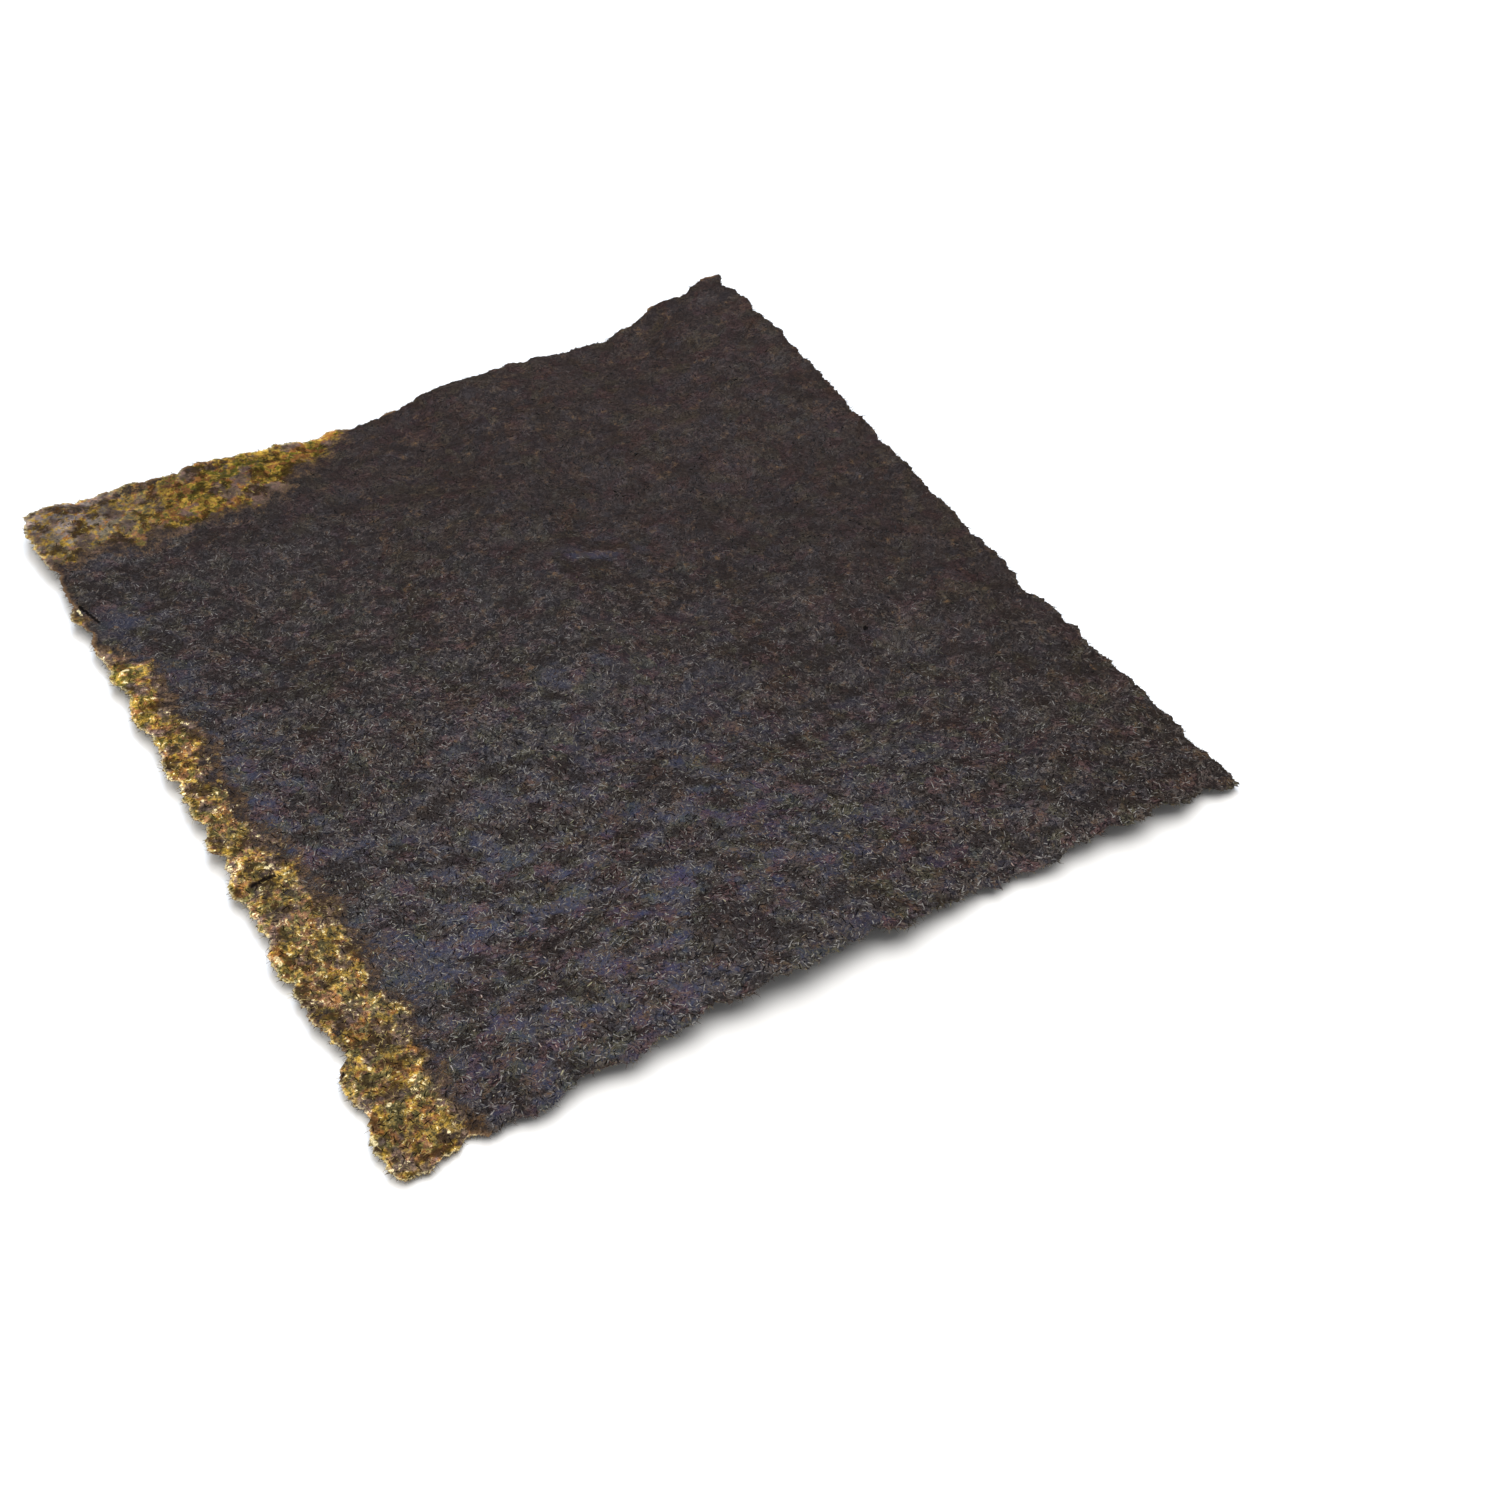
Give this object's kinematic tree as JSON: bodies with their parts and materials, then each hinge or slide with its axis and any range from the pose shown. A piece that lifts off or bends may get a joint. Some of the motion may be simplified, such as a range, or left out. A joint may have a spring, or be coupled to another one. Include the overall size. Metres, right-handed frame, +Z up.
{
  "type": "nori sheet",
  "caption": "Full-size sheet of dried pressed seaweed: a thin, gently wavy dark leaf with torn ragged edges, for wrapping rice.",
  "frame": {"origin": "middle of the footprint, on the surface that the sheet rests on", "axes": "+Z up through the sheet, +Y along its long sides, +X along its short sides"},
  "size_m": [0.1932, 0.2142, 0.0079],
  "materials": {
    "laver": "dry pressed seaweed, dark purple-brown with a bluish sheen, thin olive-gold margins"
  },
  "bodies": {
    "root": {"nori_sheet": "laver"}
  },
  "joints": []
}
